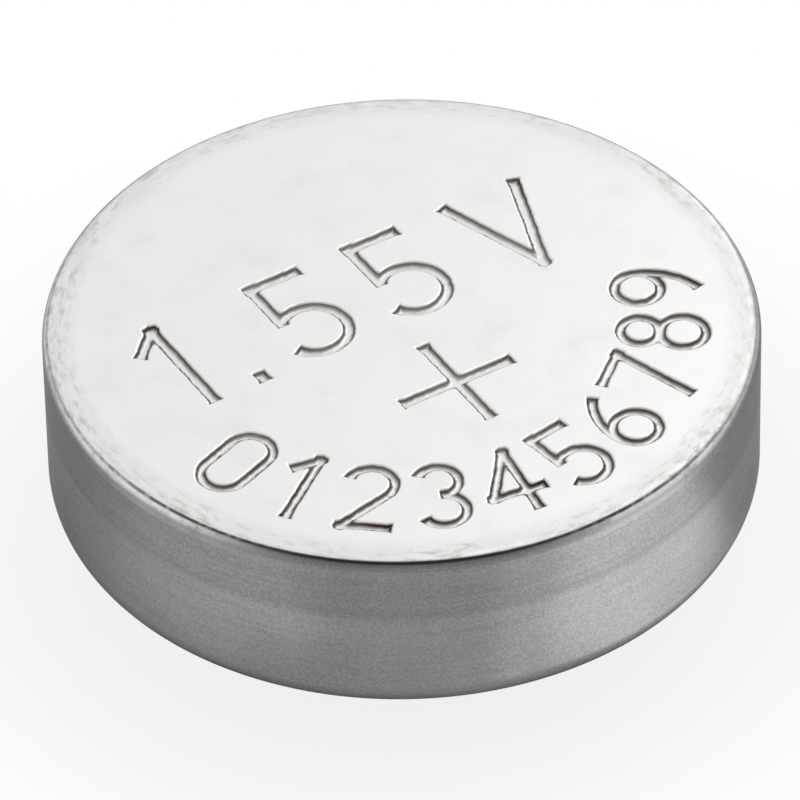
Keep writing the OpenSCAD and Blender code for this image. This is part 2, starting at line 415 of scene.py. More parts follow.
def stroke_distance(x, y, stroke, scale, half):
    """Signed distance to one stroke of a figure whose box is scale high."""
    kind, values = stroke[0], stroke[1:]
    if kind == "oval":
        cx, low, high, radius = (v * scale for v in values)
        return np.abs(np.hypot(x - cx, y - np.clip(y, low, high)) - radius) - half
    free = values[-1]
    ends = float(free in (1, 3)), float(free in (2, 3))
    if kind == "line":
        x1, y1, x2, y2 = (v * scale for v in values[:4])
        run = math.hypot(x2 - x1, y2 - y1)
        ux, uy = (x2 - x1) / run, (y2 - y1) / run
        along = (x - x1) * ux + (y - y1) * uy - run / 2
        across = (y - y1) * ux - (x - x1) * uy
        return boxed(across, along, half, run / 2 + half, *ends)
    cx, cy, radius = (v * scale for v in values[:3])
    first, last = math.radians(values[3]), math.radians(values[4])
    angle = np.arctan2(y - cy, x - cx) - (first + last) / 2
    angle = (angle + math.pi) % (2 * math.pi) - math.pi
    across = np.hypot(x - cx, y - cy) - radius
    return boxed(across, angle * radius, half, (last - first) / 2 * radius, *ends)


def blended(a, b):
    """The nearer of two distances, with the corner between them filled."""
    h = np.maximum(CORNER_FILL - np.abs(a - b), 0) / CORNER_FILL
    return np.minimum(a, b) - h * h * CORNER_FILL / 4


def figure_distance(x, y, groups, height, stroke):
    """Signed distance to a figure that stands on its baseline, centred on its own Y axis."""
    scale, half = height - stroke, stroke / 2
    total = None
    for group in groups:
        near = np.min([stroke_distance(x, y - half, s, scale, half) for s in group], axis=0)
        total = near if total is None else blended(total, near)
    return total


def free_ends(groups):
    """The points of a figure, in a box one high, where a stroke ends free."""
    ends = []
    for kind, *values, free in (s for group in groups for s in group if s[0] != "oval"):
        if kind == "line":
            first, last = values[:2], values[2:]
        else:
            cx, cy, radius = values[:3]
            first, last = (
                (cx + radius * math.cos(a), cy + radius * math.sin(a))
                for a in map(math.radians, values[3:])
            )
        ends += [first] * (free in (1, 3)) + [last] * (free in (2, 3))
    return ends


def mark_places(sizes):
    """Every stamped mark as its strokes, height, stroke width, turn in degrees and place."""
    places = []
    height, stroke = sizes.volt_height / MM, sizes.volt_stroke / MM
    reading = math.degrees(sizes.mark_turn)
    steps = [
        stroke + VOLT_GAP + (height - stroke) * (EXTENT[c][1] - EXTENT[c][0]) for c in VOLTAGE
    ]
    start = VOLT_ALONG - (sum(steps) - VOLT_GAP) / 2
    for i, c in enumerate(VOLTAGE):
        left = stroke / 2 - (height - stroke) * EXTENT[c][0]
        at = (start + sum(steps[:i]) + left, VOLT_UP - height / 2)
        places.append((STROKES[c], height, stroke, reading, at, (0, 0)))
    arm = (sizes.plus_length / MM - stroke) / 2
    plus = ((("line", -arm, 0, arm, 0, 3),), (("line", 0, -arm, 0, arm, 3),))
    places.append((plus, 1 + stroke, stroke, reading, (0, -stroke / 2), PLUS_AT))
    height, stroke = sizes.row_height / MM, sizes.row_stroke / MM
    for i, c in enumerate(ROW_FIGURES):
        angle = ROW_START + i * ROW_STEP + 90
        places.append((STROKES[c], height, stroke, angle, (0, ROW_MARGIN - CAN_R), (0, 0)))
    return places


def mark_field(sizes):
    """Grid lines, the signed distance to the stamped marks, and how near a free end is, 0 to 1."""
    lines = np.arange(-FIELD_R, FIELD_R + GRID, GRID)
    gx, gy = np.meshgrid(lines, lines, indexing="ij")
    field = np.full(gx.shape, 1.0)
    near_end = np.zeros(gx.shape)
    for groups, height, stroke, turned, at, shift in mark_places(sizes):
        a = math.radians(turned)
        middle = (at[0], at[1] + height / 2)
        cx = shift[0] + middle[0] * math.cos(a) - middle[1] * math.sin(a)
        cy = shift[1] + middle[0] * math.sin(a) + middle[1] * math.cos(a)
        reach = REACH_HEIGHTS * height + REACH_STROKES * stroke
        part = tuple(slice(*np.searchsorted(lines, (c - reach, c + reach))) for c in (cx, cy))
        px, py = gx[part] - shift[0], gy[part] - shift[1]
        x = px * math.cos(a) + py * math.sin(a) - at[0]
        y = py * math.cos(a) - px * math.sin(a) - at[1]
        field[part] = np.minimum(field[part], figure_distance(x, y, groups, height, stroke))
        for end_x, end_y in free_ends(groups):
            off_x, off_y = x - end_x * (height - stroke), y - stroke / 2 - end_y * (height - stroke)
            near = np.exp(-(off_x**2 + off_y**2) / END_REACH**2)
            near_end[part] = np.maximum(near_end[part], near)
    ragged = sum(share * soft_noise(gx, gy, cell, seed) for share, cell, seed in RAGGED_NOISE)
    inward = np.clip(-field / RAGGED_RUN, 0, 1)
    return lines, field + RAGGED * (1 + inward) * ragged, near_end


def wall_levels(depth):
    """Steps down the wall of a mark: distance from the stroke's side, drop and slope."""
    rounded = (LIP_R + TOE_R) * (1 - math.cos(WALL_SLOPE))
    straight = max(depth - rounded, 0) / math.tan(WALL_SLOPE)
    foot = LIP_OUT - (LIP_R + TOE_R) * math.sin(WALL_SLOPE) - straight
    lip = [
        (LIP_OUT - LIP_R * math.sin(a), LIP_R * (1 - math.cos(a)), a)
        for a in np.linspace(0, WALL_SLOPE, LIP_LEVELS)
    ]
    toe = [
        (foot + TOE_R * math.sin(a), depth - TOE_R * (1 - math.cos(a)), a)
        for a in np.linspace(WALL_SLOPE, 0, TOE_LEVELS)
    ]
    return lip + toe


def contour(field, level):
    """Points where the grid's field crosses the level, in grid steps, and the pairs that join."""
    above = field > level
    n = field.shape[0]
    crossings = {}
    points = []
    for axis in (0, 1):
        here = above[:-1, :] != above[1:, :] if axis == 0 else above[:, :-1] != above[:, 1:]
        i, j = np.nonzero(here)
        a = field[i, j]
        b = field[i + 1, j] if axis == 0 else field[i, j + 1]
        share = np.clip((level - a) / (b - a), OFF_CORNER, 1 - OFF_CORNER)
        base = len(points)
        points += list(zip((i + share * (axis == 0)).tolist(), (j + share * (axis == 1)).tolist()))
        keys = ((axis * n + i) * n + j).tolist()
        crossings.update(zip(keys, range(base, base + len(keys))))
    cells = above[:-1, :-1].astype(int) + above[1:, :-1] + above[:-1, 1:] + above[1:, 1:]
    pairs = []
    for i, j in zip(*(v.tolist() for v in np.nonzero((cells > 0) & (cells < 4)))):
        sides = [i * n + j, (n + i + 1) * n + j, i * n + j + 1, (n + i) * n + j]
        found = [crossings[s] for s in sides if s in crossings]
        if len(found) == 4:
            # Two corners of the cell that lie across from each other are above the level
            middle = field[i : i + 2, j : j + 2].mean() > level
            if middle != above[i, j]:
                found = [found[0], found[3], found[1], found[2]]
        pairs += zip(found[::2], found[1::2])
    return np.array(points), np.array(pairs, int)


def loose_points(field, low):
    """Points over the open field, so that it isn't made of long thin triangles."""
    rng = np.random.default_rng(LOOSE_SEED)
    lines = np.arange(-FIELD_R, FIELD_R, SPARSE)
    x, y = (v.ravel() for v in np.meshgrid(lines, lines))
    x = x + rng.uniform(-LOOSE_SHIFT, LOOSE_SHIFT, x.size) * SPARSE
    y = y + rng.uniform(-LOOSE_SHIFT, LOOSE_SHIFT, y.size) * SPARSE
    inside = np.hypot(x, y) < FIELD_R - FROM_RING * SPARSE
    chosen = inside & (field_at(field, x, y, low) > FROM_MARKS * SPARSE)
    return np.stack([x[chosen], y[chosen]], 1)


def stamped_face(sizes):
    """The flat face with its marks: vertices, triangles, normals and how much painted shade each
    gets.

    The first vertices are the ring that joins the turned part of the can.
    """
    lines, field, near_end = mark_field(sizes)
    low = lines[0]
    depth = sizes.mark_depth / MM
    around = np.arange(AROUND)
    # Each part's points, the pairs of them that an edge joins, their drop and their slope
    parts = [(RING * FIELD_R, np.stack([around, np.roll(around, -1)], 1), 0.0, 0.0)]
    for level, drop, slope in wall_levels(depth):
        found, pairs = contour(field, level)
        parts.append((low + GRID * found, pairs, drop, slope))
    parts.append((loose_points(field, low), np.empty((0, 2), int), 0.0, 0.0))
    counts = [len(part[0]) for part in parts]
    starts = np.cumsum([0] + counts)
    points = np.concatenate([part[0] for part in parts])
    edges = np.concatenate([part[1] + start for part, start in zip(parts, starts)])
    drops, slopes = (np.repeat([part[i] for part in parts], counts) for i in (2, 3))
    # Triangles over the whole field that keep the edges, with the point that each corner was
    corners, _, faces, origins, _, _ = delaunay_2d_cdt(
        [Vector(p) for p in points.tolist()], edges.tolist(), [], 0, TINY, True
    )
    source = np.array([o[0] if o else -1 for o in origins])
    flat = np.array([tuple(c) for c in corners])
    if (source < 0).any():
        raise RuntimeError("the contours of the marks cross each other")
    # The ring keeps its order at the start
    order = np.argsort(source, kind="stable")
    place = np.empty(len(order), int)
    place[order] = np.arange(len(order))
    source, flat = source[order], flat[order]
    x, y = flat.T
    drops, slopes = drops[source], slopes[source]
    nx, ny = (field_at(g, x, y, low) for g in np.gradient(field, GRID))
    size = np.maximum(np.hypot(nx, ny), TINY)
    lean = np.sin(slopes)
    normals = np.column_stack([-nx / size * lean, -ny / size * lean, np.cos(slopes)])
    triangles = [tuple(int(place[v]) for v in f) for f in faces]
    vertices = np.column_stack([flat, CELL_H - drops])
    share = drops / depth
    steep = slopes / WALL_SLOPE
    # Painted shade in the marks, a little weaker between free ends, on walls facing +Y and in the
    # middle of the face
    painted_mark_shade = np.minimum(FLOOR_SHADE * share + steep * (WALL_SHADE + share), 1)
    painted_mark_shade *= BETWEEN_ENDS + (1 - BETWEEN_ENDS) * field_at(near_end, x, y, low)
    painted_mark_shade *= 1 - FACING_PLUS_Y_LESS_SHADE * (1 - ny / size) / 2
    pressed = (np.hypot(x, y) - SHADE_GROWS_FROM) / (SHADE_GROWS_TO - SHADE_GROWS_FROM)
    painted_mark_shade *= 1 - MIDDLE_LIGHTER * (1 - np.clip(pressed, 0, 1))
    return vertices, triangles, normals, painted_mark_shade


def can_section(sizes):
    """The can's section from the field of its face, round its outside and back to the axis."""
    edge, rim = sizes.face_edge / MM, sizes.rim_edge / MM
    end = CRIMP + LIP_LEN * ALONG
    rim_out = end + CRIMP_R * OUT - rim * OUT - rim * ALONG
    rim_in = end + (CRIMP_R - CAN_T) * OUT + rim * OUT - rim * ALONG
    inside = CELL_H - FACE_T
    root = (CAN_R - CAN_T - FACE_ROOT_R, inside - FACE_ROOT_R)
    quarter = math.pi / 2
    points = [(FIELD_R, CELL_H)]
    for centre, radius, first, last, steps in (
        ((CAN_R - edge, CELL_H - edge), edge, quarter, 0, EDGE_STEPS),
        (CRIMP, CRIMP_R, 0, -CRIMP_TURN, CRIMP_STEPS),
        (rim_out, rim, -CRIMP_TURN, -CRIMP_TURN - quarter, RIM_STEPS),
        (rim_in, rim, -CRIMP_TURN - quarter, -CRIMP_TURN - 2 * quarter, RIM_STEPS),
        (CRIMP, CRIMP_R - CAN_T, -CRIMP_TURN, 0, CRIMP_IN_STEPS),
        (root, FACE_ROOT_R, 0, quarter, ROOT_STEPS),
    ):
        points += turn(centre, radius, first, last, steps)
    return split(without_repeats(points), CAN_STRIDE) + [(0.0, inside)]


def section_normals(section):
    """Outward normals at the points of an open section, each between its two sides."""
    sides = np.diff(np.array(section), axis=0)
    sides /= np.linalg.norm(sides, axis=1)[:, None]
    both = np.concatenate([sides[:1], sides]) + np.concatenate([sides, sides[-1:]])
    both /= np.linalg.norm(both, axis=1)[:, None]
    return np.column_stack([-both[:, 1], both[:, 0]])


def can_mesh(sizes):
    """The can's vertices, faces, normals and the marks' painted shade, with its face joined to its
    turned part.
    """
    face_v, face_f, face_n, stamped = stamped_face(sizes)
    section = can_section(sizes)
    side_v, side_f = lathe(section)
    # The section ends on the axis, under the face
    side_n = [
        np.column_stack([RING * r, np.full(AROUND, z)]) for r, z in section_normals(section)[:-1]
    ]
    side_n = np.concatenate(side_n + [np.array([[0.0, 0.0, -1.0]])])
    # The section's first ring is the face's ring
    moved = np.concatenate([np.arange(AROUND), np.arange(len(side_v) - AROUND) + len(face_v)])
    vertices = np.concatenate([face_v, side_v[AROUND:]])
    normals = np.concatenate([face_n, side_n[AROUND:]])
    faces = face_f + [tuple(int(moved[v]) for v in reversed(f)) for f in side_f]
    share = np.concatenate([stamped, np.zeros(len(side_v) - AROUND)])
    return vertices, faces, normals, share


def cap_turns():
    """The radius of the cap's neck, and the centres of its turns at the neck and at the skirt."""
    bend_in = CRIMP_R - CAN_T
    shoulder = bend_in - GASKET_LIP_T
    neck = CRIMP[0] + bend_in * OUT[0] + LIP_LEN * ALONG[0] - RIM_GAP

    def centre(r, d):
        return np.array([r, CRIMP[1] + ((r - CRIMP[0]) * OUT[0] - d) / -OUT[1]])

    neck_turn = centre(neck + NECK_TURN_R, shoulder + NECK_TURN_R)
    skirt_turn = centre(SKIRT_R - SKIRT_TURN_R, shoulder - SKIRT_TURN_R)
    return neck, neck_turn, skirt_turn


def cap_side(inset):
    """The cap's surface from its contact to the top of its skirt, taken in by inset."""
    neck, neck_turn, skirt_turn = cap_turns()
    corner, side = CONTACT_EDGE_R - inset, neck - inset
    points = turn((side - corner, inset + corner), corner, -math.pi / 2, 0, CONTACT_STEPS)
    points += turn(neck_turn, NECK_TURN_R + inset, math.pi, math.pi - CRIMP_TURN, NECK_STEPS)
    points += turn(skirt_turn, SKIRT_TURN_R - inset, -CRIMP_TURN, 0, SKIRT_STEPS)
    return points + [(SKIRT_R - inset, SKIRT_TOP)]


def cap_section():
    """The cap's section from the axis out along its outside and back along its inside."""
    outer = split([(0.0, 0.0)] + without_repeats(cap_side(0)), CAP_STRIDE)
    inner = split(without_repeats(cap_side(CAP_T)[::-1]) + [(0.0, CAP_T)], CAP_IN_STRIDE)
    return outer + inner


def gasket_section():
    """The gasket's section, a closed loop round its wall, foot, inner leg and lip."""
    _, neck_turn, skirt_turn = cap_turns()
    skirt_in, leg_low = SKIRT_R - CAP_T, SKIRT_TOP - INNER_LEG_LOW
    leg_in = skirt_in - INNER_LEG_T
    end = CRIMP + (LIP_LEN + GASKET_PROUD) * ALONG
    # Where the end of the lip meets the cap's turn
    offset = end - neck_turn
    half = offset @ OUT
    reach = -half - math.sqrt(half * half - offset @ offset + NECK_TURN_R**2)
    meets = offset + reach * OUT
    angle = math.atan2(meets[1], meets[0])
    points = turn(CRIMP, CRIMP_R - CAN_T, -CRIMP_TURN, 0, CRIMP_IN_STEPS)
    points += [(CAN_R - CAN_T, GASKET_TOP), (leg_in, GASKET_TOP), (leg_in, leg_low)]
    points += [(skirt_in, leg_low), (skirt_in, SKIRT_TOP), (SKIRT_R, SKIRT_TOP)]
    points += turn(skirt_turn, SKIRT_TURN_R, 0, -CRIMP_TURN, SKIRT_STEPS)
    points += turn(neck_turn, NECK_TURN_R, math.pi - CRIMP_TURN, angle, LIP_STEPS)
    points.append(tuple(end + (CRIMP_R - CAN_T) * OUT))
    return split(without_repeats(points), GASKET_STRIDE)


# ---------------------------------------------------------------- finishes

SMOOTH = {"interpolation_type": "SMOOTHSTEP"}
MULTIPLY = {"operation": "MULTIPLY"}
MULTIPLY_ADD = {"operation": "MULTIPLY_ADD"}
MAXIMUM = {"operation": "MAXIMUM"}
# Sockets of a Mix node that mixes colours: its two colours, and its result
FIRST, SECOND, MIXED = 6, 7, 2
COLOURS = {"data_type": "RGBA"}

# What the can's surface shows, in millimetres: smudges along the edge and the stretches of it
# that have them, stains, patches in the marks' painted shade, streaks and clouds on the side,
# and breaks in the edge's fine painted dark reflection
SMUDGE_LONG, SMUDGE_WIDE = 0.16, 0.05
SMUDGED_STRETCH = 1.3
STAIN = 0.5
WALL_PATCH = 0.2
STREAK_LONG, STREAK_WIDE = 1.6, 0.035
SIDE_CLOUD = 0.8
FINE_LINE_BREAK = 0.07
# The grit's dents are 0.01 mm across, drawn as 0.02 mm so that they show
DENT, DENT_DEEP = 0.02, 0.004
# The face has this part of the side's dents
FACE_DENTS = 0.1
# Roughness of the face and the side, and what rubbing, stamping and wear add to it
FACE_ROUGH, SIDE_ROUGH = 0.27, 0.34
RUBBED_ROUGH, STAMPED_ROUGH, WORN_ROUGH = 0.14, 0.25, 0.2
# How dull the face is next to the edge, where nothing has rubbed it
EDGE_DULL = 0.2
# The side's colour runs between these shares of the one that is set
SIDE_DARK, SIDE_LIGHT = 0.74, 1.26
# The middle of the part of the edge with the broad painted dark reflection, and of the part with
# painted shade over the key lamp's glint
DARK_REFLECTION_WAY, GLINT_SHADE_WAY = (0, -1, 0), (0.92, -0.39, 0)
# How much further the face's light colour reaches over the edge towards -Y, a painted highlight
BRIGHT_REACH = 0.015


def set_inputs(node, links):
    """Gives inputs a value, or a link from a node's first output or from (node, output name)."""
    for name, value in links.items():
        socket = node.inputs[name]
        if isinstance(value, bpy.types.Node):
            node.id_data.links.new(value.outputs[0], socket)
        elif isinstance(value, tuple) and isinstance(value[0], bpy.types.Node):
            node.id_data.links.new(value[0].outputs[value[1]], socket)
        else:
            socket.default_value = value


def add_node(tree, kind, links=None, settings=None):
    """Adds a shader node of any kind with its settings, values and links."""
    node = tree.nodes.new("ShaderNode" + kind)
    for name, value in (settings or {}).items():
        setattr(node, name, value)
    set_inputs(node, links or {})
    return node


def emptied(owner):
    """Empties the nodes of a material or a world, and gives the way to add new ones."""
    owner.use_nodes = True
    owner.node_tree.nodes.clear()
    return partial(add_node, owner.node_tree)


def new_material(name):
    """A material, the way to add nodes to it, the place of a point on its piece, and its shader."""
    material = bpy.data.materials.new(name)
    add = emptied(material)
    shader = add("BsdfPrincipled")
    add("OutputMaterial", {"Surface": shader})
    return material, add, (add("TexCoord"), "Object"), shader


def rgba(colour, share=1.0):
    """A colour socket's value, with the colour made lighter or darker by a share."""
    return (*(min(1.0, c * share) for c in colour), 1.0)


def one_per(size):
    """The scale of a pattern whose details are this many millimetres apart."""
    return 1 / (size * MM)


def two_tone(shader, pattern, colour, share, relief, values):
    """Sets a shader to values and to a colour that a pattern makes lighter or darker by a share.

    Relief is the bump's strength, its depth in millimetres and its height, or None.
    """
    add = partial(add_node, shader.id_data)
    ends = {"Factor": pattern, FIRST: rgba(colour), SECOND: rgba(colour, share)}
    set_inputs(shader, {"Base Color": (add("Mix", ends, COLOURS), MIXED), **values})
    if relief:
        strength, deep, height = relief
        bump = add("Bump", {"Strength": strength, "Distance": deep * MM, "Height": height})
        set_inputs(shader, {"Normal": bump})


def face_finish(add, spot, flat, radius, colours):
    """Colour and roughness of the coined face, with its rubbed edge and its rough marks with
    painted shade.
    """
    # The smudges run along the edge
    way = add("VectorMath", {0: flat}, {"operation": "NORMALIZE"})
    way = add("VectorMath", {0: way, "Scale": CAN_R / SMUDGE_LONG}, {"operation": "SCALE"})
    out = add("CombineXYZ", {2: add("Math", {0: radius, 1: 1 / SMUDGE_WIDE}, MULTIPLY)})
    along = add("VectorMath", {0: way, 1: out}, {"operation": "ADD"})
    # Each pattern's place, scale, detail and roughness, the levels between which it rises, and
    # what it gives there
    patterns = []
    for place, scale, detail, rough, start, end, low, high, kind in (
        (along, 1, 6, 0.65, 0.44, 0.66, 0, 0.85, SMOOTH),
        (flat, one_per(SMUDGED_STRETCH), 1, 0.5, 0.38, 0.6, 0.5, 1, SMOOTH),
        (flat, one_per(STAIN), 4, 0.55, 0.45, 0.75, 0, 0.14, SMOOTH),
        (spot, one_per(WALL_PATCH), 3, 0.5, 0.35, 0.62, 0.9, 1, {}),
    ):
        noise = {"Vector": place, "Scale": scale, "Detail": detail, "Roughness": rough}
        levels = {"From Min": start, "From Max": end, "To Min": low, "To Max": high}
        patterns.append(add("MapRange", {"Value": add("TexNoise", noise), **levels}, kind))
    smudges, stretches, stains, uneven = patterns
    near_edge = {"Value": radius, "From Min": CAN_R - 0.32, "From Max": CAN_R - 0.12}
    near_edge = add("MapRange", near_edge, SMOOTH)
    rubbed = add("Math", {0: smudges, 1: stretches}, MULTIPLY)
    rubbed = add("Math", {0: rubbed, 1: near_edge}, MULTIPLY)
    dull = add("Math", {0: rubbed, 1: stains}, MAXIMUM)
    dull = add("Math", {0: near_edge, 1: EDGE_DULL, 2: dull}, MULTIPLY_ADD)
    ends = {"Factor": dull, FIRST: rgba(colours.face), SECOND: rgba(colours.scuffed)}
    colour = add("Mix", ends, COLOURS)
    # The marks get painted shade, and more roughness, more on the steep walls than on the floors
    stamped = (add("Attribute", {}, {"attribute_name": "stamped"}), "Fac")
    tint = add("Math", {0: stamped, 1: uneven}, MULTIPLY)
    ends = {"Factor": tint, FIRST: (colour, MIXED), SECOND: rgba(colours.stamped)}
    colour = add("Mix", ends, COLOURS)
    rough = add("Math", {0: rubbed, 1: RUBBED_ROUGH, 2: FACE_ROUGH}, MULTIPLY_ADD)
    rough = add("Math", {0: tint, 1: STAMPED_ROUGH, 2: rough}, MULTIPLY_ADD)
    return colour, rough


def side_finish(add, spot, height, colours):
    """Colour and grain of the tumbled side, with the streaks and the line from the drawing die."""
    grain = add("TexNoise", {"Vector": spot, "Scale": one_per(DENT), "Detail": 3, "Roughness": 0.6})
    stretch = [one_per(size) for size in (STREAK_LONG, STREAK_LONG, STREAK_WIDE)]
    stretch = add("Mapping", {"Vector": spot, "Scale": stretch})
    streaks = add("TexNoise", {"Vector": stretch, "Scale": 1, "Detail": 3})
    clouds = add("TexNoise", {"Vector": spot, "Scale": one_per(SIDE_CLOUD), "Detail": 3})
    # The part above the die's line is a little darker, and the line itself more so
    above, line = (
        add("MapRange", {"Value": height, "From Min": start, "From Max": end}, SMOOTH)
        for start, end in (
            (DIE_LINE - 0.07, DIE_LINE + 0.05),
            (DIE_LINE + 0.07, DIE_LINE + 0.02),
        )
    )
    line = add("Math", {0: line, 1: above}, MULTIPLY)
    tone = grain
    for part, amount in ((streaks, 0.28), (clouds, 0.3), (above, -0.14), (line, -0.05)):
        tone = add("Math", {0: part, 1: amount, 2: tone}, MULTIPLY_ADD)
    tone = add("MapRange", {"Value": tone, "From Min": 0.53, "From Max": 1.02})
    dark, light = (rgba(colours.side, share) for share in (SIDE_DARK, SIDE_LIGHT))
    return add("Mix", {"Factor": tone, FIRST: dark, SECOND: light}, COLOURS), grain


def edge_ramps(add, radius, height, painted_dark_edge_weight, toward_glint_shade):
    """How the parts of the edge begin and end: each ramp's node under its name."""
    ramps = {}
    for name, value, start, end, low, high in (
        # Where the broad painted dark reflection lies on the edge, and where the face's light
        # colour, a painted highlight there, reaches furthest over it
        ("most", painted_dark_edge_weight, 0.77, 0.985, 0, 1),
        ("reach", painted_dark_edge_weight, 0.3, 0.6, 0, 1),
        # Where the side begins: at the part of the edge with the broad painted dark reflection, and
        # down the side
        ("off_rim", radius, CAN_R - 0.045, CAN_R - 0.02, 0, 1),
        ("below", height, CELL_H - 0.08, CELL_H - 0.16, 0, 1),
        # The broad painted dark reflection
        ("start", radius, CAN_R - 0.056, CAN_R - 0.038, 0, 1),
        ("fading", height, CELL_H - 0.11, CELL_H - 0.03, 0, 1),
        ("core", height, CELL_H - 0.034, CELL_H - 0.018, 0.66, 0.98),
        # The fine painted dark reflection
        ("inner", radius, CAN_R - 0.056, CAN_R - 0.045, 0, 1),
        ("outer", radius, CAN_R - 0.022, CAN_R - 0.034, 0, 1),
        ("strength", painted_dark_edge_weight, 0.47, 0.82, 0.4, 0.9),
        # The painted shade over the key lamp's glint, and how much weaker it is outside the fine
        # line
        ("glint_shade", toward_glint_shade, 0.6, 0.86, 0, 0.45),
        ("from_face", radius, CAN_R - 0.09, CAN_R - 0.055, 0, 1),
        ("beyond", radius, CAN_R - 0.034, CAN_R - 0.022, 0, -0.75),
    ):
        levels = {"From Min": start, "From Max": end, "To Min": low, "To Max": high}
        ramps[name] = add("MapRange", {"Value": value, **levels}, SMOOTH)
    return ramps


def painted_edge_darkness(add, spot, ramps):
    """How dark the painted dark reflections and the painted shade over the key lamp's glint make
    the edge, and how worn it is.
    """
    painted_dark_edge_weight = add("Math", {0: ramps["start"], 1: ramps["fading"]}, MULTIPLY)
    broad = add("Math", {0: painted_dark_edge_weight, 1: ramps["core"]}, MULTIPLY)
    fine_line_breaks = add("TexNoise", {"Vector": spot, "Scale": one_per(FINE_LINE_BREAK), "Detail": 3})
    levels = {"From Min": 0.36, "From Max": 0.52, "To Min": 0.6, "To Max": 1.0}
    fine = add("MapRange", {"Value": fine_line_breaks, **levels})
    for name in ("inner", "outer", "strength"):
        fine = add("Math", {0: fine, 1: ramps[name]}, MULTIPLY)
    # The painted dark reflection is broad where the edge faces -Y, and fine elsewhere
    line = add("Mix", {"Factor": ramps["most"], 2: fine, 3: broad})
    # Painted shade over the key lamp's glint on the right of the edge
    glint_shade = add("Math", {0: ramps["beyond"], 1: ramps["reach"], 2: 1}, MULTIPLY_ADD)
    for name in ("glint_shade", "from_face", "fading"):
        glint_shade = add("Math", {0: glint_shade, 1: ramps[name]}, MULTIPLY)
    outside_glint_shade = add("Math", {0: 1, 1: glint_shade}, {"operation": "SUBTRACT"})
    return add("Math", {0: line, 1: outside_glint_shade, 2: glint_shade}, MULTIPLY_ADD), painted_dark_edge_weight


def can_nickel(colours):
    """Nickel plate on drawn steel. The face is satin from the coining press, the side is finely
    matt from tumbling with faint drawing streaks, and the edge between them is rubbed dull.
    The edge carries painted dark reflections, a painted highlight and painted shade over the key
    lamp's glint, and the marks carry painted shade."""
    material, add, spot, shader = new_material("nickel_plated_steel_coined_and_tumbled")
    flat = add("VectorMath", {0: spot, 1: (1, 1, 0)}, MULTIPLY)
    outward = add("VectorMath", {0: flat}, {"operation": "NORMALIZE"})
    painted_dark_edge_weight, toward_glint_shade = (
        (add("VectorMath", {0: outward, 1: way}, {"operation": "DOT_PRODUCT"}), "Value")
        for way in (DARK_REFLECTION_WAY, GLINT_SHADE_WAY)
    )
    # Distance from the axis and height, in millimetres
    radius = (add("VectorMath", {0: flat}, {"operation": "LENGTH"}), "Value")
    radius = add("Math", {0: radius, 1: 1 / MM}, MULTIPLY)
    height = add("Math", {0: (add("SeparateXYZ", {0: spot}), "Z"), 1: 1 / MM}, MULTIPLY)
    ramps = edge_ramps(add, radius, height, painted_dark_edge_weight, toward_glint_shade)
    # 1 on the side and underneath, 0 on the face, whose light colour reaches over the edge except
    # where the broad painted dark reflection is, and further towards -Y as a painted highlight
    bright = add("Math", {0: ramps["reach"], 1: -BRIGHT_REACH, 2: radius}, MULTIPLY_ADD)
    bright = {"Value": bright, "From Min": CAN_R - 0.03, "From Max": CAN_R - 0.006}
    bright = add("MapRange", bright, SMOOTH)
    side = add("Mix", {"Factor": ramps["most"], 2: bright, 3: ramps["off_rim"]})
    side = add("Math", {0: side, 1: ramps["below"]}, MAXIMUM)
    face_colour, face_rough = face_finish(add, spot, flat, radius, colours)
    side_colour, grain = side_finish(add, spot, height, colours)
    ends = {"Factor": side, FIRST: (face_colour, MIXED), SECOND: (side_colour, MIXED)}
    colour = add("Mix", ends, COLOURS)
    line, wear = painted_edge_darkness(add, spot, ramps)
    # Mixes in the painted dark reflection along the edge and the painted shade over the key lamp's
    # glint
    ends = {"Factor": line, FIRST: (colour, MIXED), SECOND: rgba(colours.edge_painted_dark)}
    colour = add("Mix", ends, COLOURS)
    rough = add("Mix", {"Factor": side, 2: face_rough, 3: SIDE_ROUGH})
    rough = add("Math", {0: wear, 1: WORN_ROUGH, 2: rough}, MULTIPLY_ADD)
    dents = add("Math", {0: side, 1: 1 - FACE_DENTS, 2: FACE_DENTS}, MULTIPLY_ADD)
    dents = add("Math", {0: grain, 1: dents}, MULTIPLY)
    bump = add("Bump", {"Strength": 0.35, "Distance": DENT_DEEP * MM, "Height": dents})
    # The grey Specular Tint darkens the metal's reflections at grazing angles: painted shade along
    # the outlines of the side
    set_inputs(shader, {
        "Base Color": (colour, MIXED), "Metallic": 1.0, "Roughness": rough, "Normal": bump,
        "Specular Tint": (0.6, 0.6, 0.6, 1.0),
    })
    return material


def cap_nickel(colours):
    """Nickel plate on pressed steel, satin from the rolling mill: a soft even sheen with cloudy
    patches and fine rings from the press."""
    material, add, spot, shader = new_material("nickel_plated_steel_pressed_satin")
    flat = add("VectorMath", {0: spot, 1: (1, 1, 0)}, MULTIPLY)
    radius = (add("VectorMath", {0: flat}, {"operation": "LENGTH"}), "Value")
    # Rings 0.05 mm apart and patches 0.15 mm across
    turned = add("Math", {0: radius, 1: one_per(0.05)}, MULTIPLY)
    rings = add("TexNoise", {"W": turned, "Scale": 1}, {"noise_dimensions": "1D"})
    patches = {"Vector": spot, "Scale": one_per(0.15), "Detail": 6, "Roughness": 0.65}
    tone = add("Math", {0: rings, 1: 0.35, 2: add("TexNoise", patches)}, MULTIPLY_ADD)
    tone = add("MapRange", {"Value": tone, "From Min": 0.45, "From Max": 1.0}, SMOOTH)
    rough = add("Math", {0: tone, 1: 0.12, 2: 0.26}, MULTIPLY_ADD)
    values = {"Metallic": 1.0, "Roughness": rough}
    two_tone(shader, tone, colours.contact, 0.75, (0.4, 0.003, tone), values)
    return material


